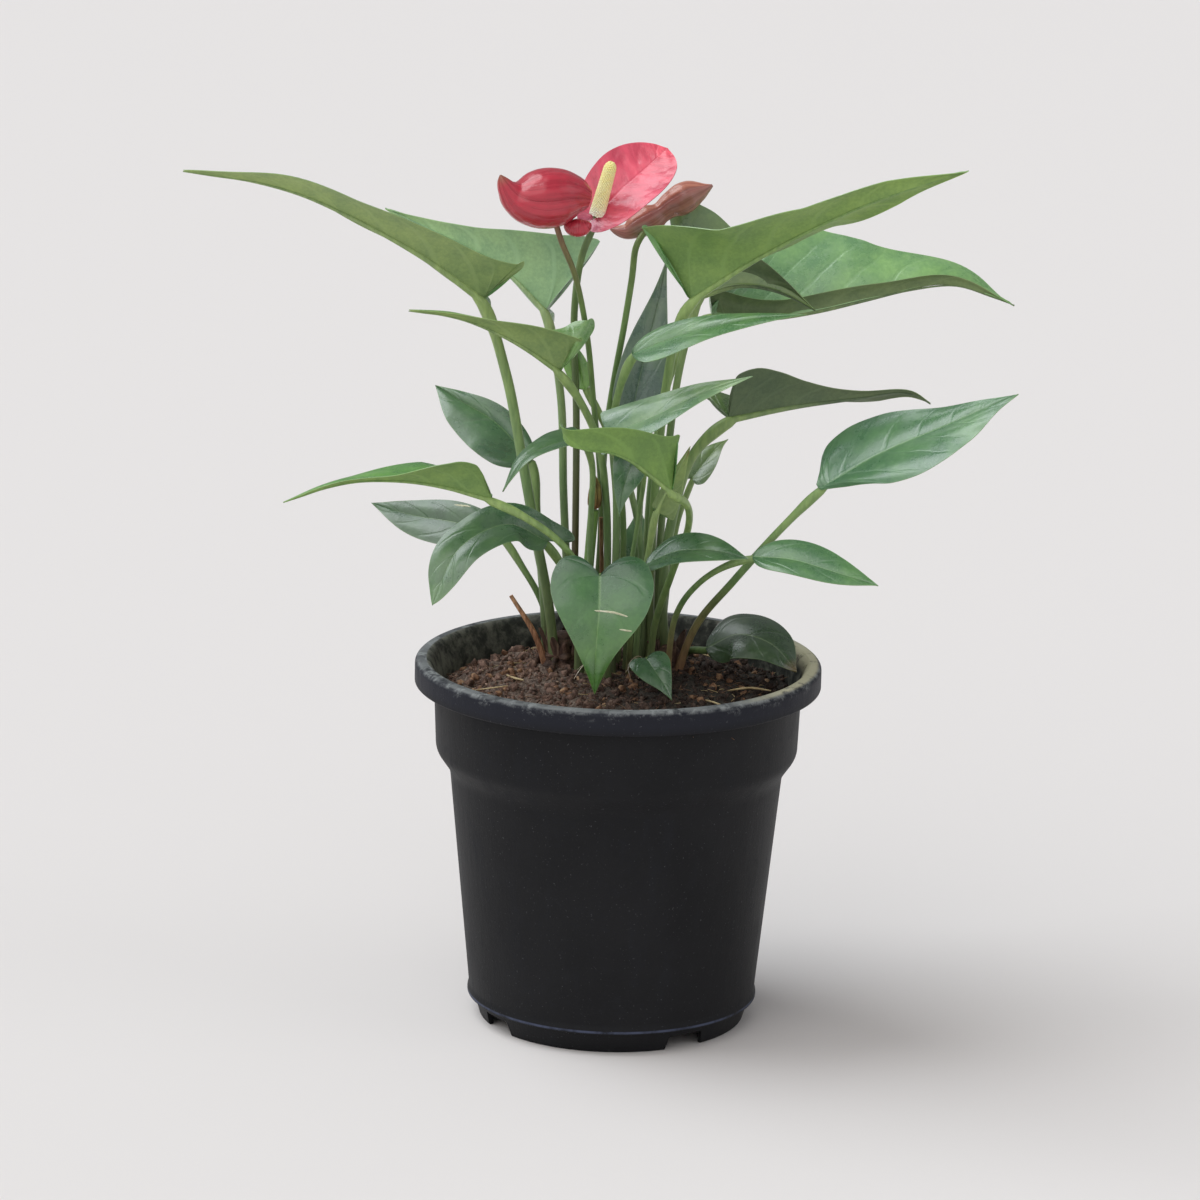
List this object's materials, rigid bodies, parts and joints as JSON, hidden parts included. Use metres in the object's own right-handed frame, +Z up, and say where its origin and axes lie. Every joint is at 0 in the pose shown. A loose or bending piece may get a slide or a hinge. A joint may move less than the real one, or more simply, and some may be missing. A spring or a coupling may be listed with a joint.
{
  "type": "potted anthurium",
  "caption": "Flowering anthurium in a black nursery pot: glossy arrow-shaped leaves on long stalks and red spathes, each with a yellow spadix, above dark peat.",
  "frame": {"origin": "bottom centre of the whole plant's box, on the surface that the pot stands on; the pot's axis stands at X = 6.7 mm, Y = 0", "axes": "+Z up along the pot's axis; the picture's viewer stands at -Y; +X is to the viewer's right, towards the big right-hand leaves"},
  "size_m": [0.3251, 0.16, 0.3473],
  "materials": {
    "pot_black": "satin, dusty",
    "peat_brown": "matte, crumbly",
    "crown_red_brown": "matte",
    "leaf_fresh": "waxy, semi-gloss",
    "leaf_deep": "waxy, glossy",
    "leaf_olive": "waxy, satin",
    "stalk_red_brown": "satin",
    "spathe_deep_red": "waxy, high gloss",
    "spathe_bright_red": "waxy, high gloss",
    "spathe_faded_red": "waxy, dull",
    "spadix_yellow": "matte, beaded",
    "dry_brown": "matte"
  },
  "bodies": {
    "root": {"pot": "pot_black", "peat": "peat_brown", "crown_left": "crown_red_brown", "crown_right": "crown_red_brown", "leaf_01_long_left": "leaf_fresh", "leaf_02_back_left": "leaf_olive", "leaf_03_middle_left": "leaf_fresh", "leaf_04_inner_left": "leaf_olive", "leaf_05_dark_left": "leaf_deep", "leaf_06_narrow_left": "leaf_deep", "leaf_07_bright_front": "leaf_fresh", "leaf_08_pale_centre": "leaf_olive", "leaf_09_upright": "leaf_deep", "leaf_10_glossy_centre": "leaf_deep", "leaf_11_big_right": "leaf_fresh", "leaf_12_olive_back": "leaf_olive", "leaf_13_big_back_right": "leaf_fresh", "leaf_14_hooked_right": "leaf_olive", "leaf_15_glossy_right": "leaf_deep", "leaf_16_low_right": "leaf_deep", "leaf_17_low_centre": "leaf_deep", "leaf_18_front_heart": "leaf_deep", "leaf_19_drooping_left": "leaf_deep", "leaf_20_low_back_left": "leaf_deep", "leaf_21_bright_low_left": "leaf_fresh", "leaf_22_on_peat_right": "leaf_deep", "leaf_23_small_front": "leaf_deep", "leaf_24_inner_back": "leaf_deep", "leaf_25_hanging": "leaf_deep", "leaf_26_small_back_right": "leaf_olive", "leaf_27_young": "leaf_fresh", "bloom_1_stalk": "leaf_olive", "bloom_1_spathe": "spathe_deep_red", "bloom_1_spadix": "spadix_yellow", "bloom_2_stalk": "stalk_red_brown", "bloom_2_spathe": "spathe_bright_red", "bloom_2_spadix": "spadix_yellow", "bloom_3_stalk": "leaf_olive", "bloom_3_spathe": "spathe_faded_red", "bloom_3_spadix": "spadix_yellow", "young_shoot": "leaf_fresh", "withered_bud": "dry_brown", "broken_stalk": "dry_brown", "dry_stub": "dry_brown"}
  },
  "joints": []
}
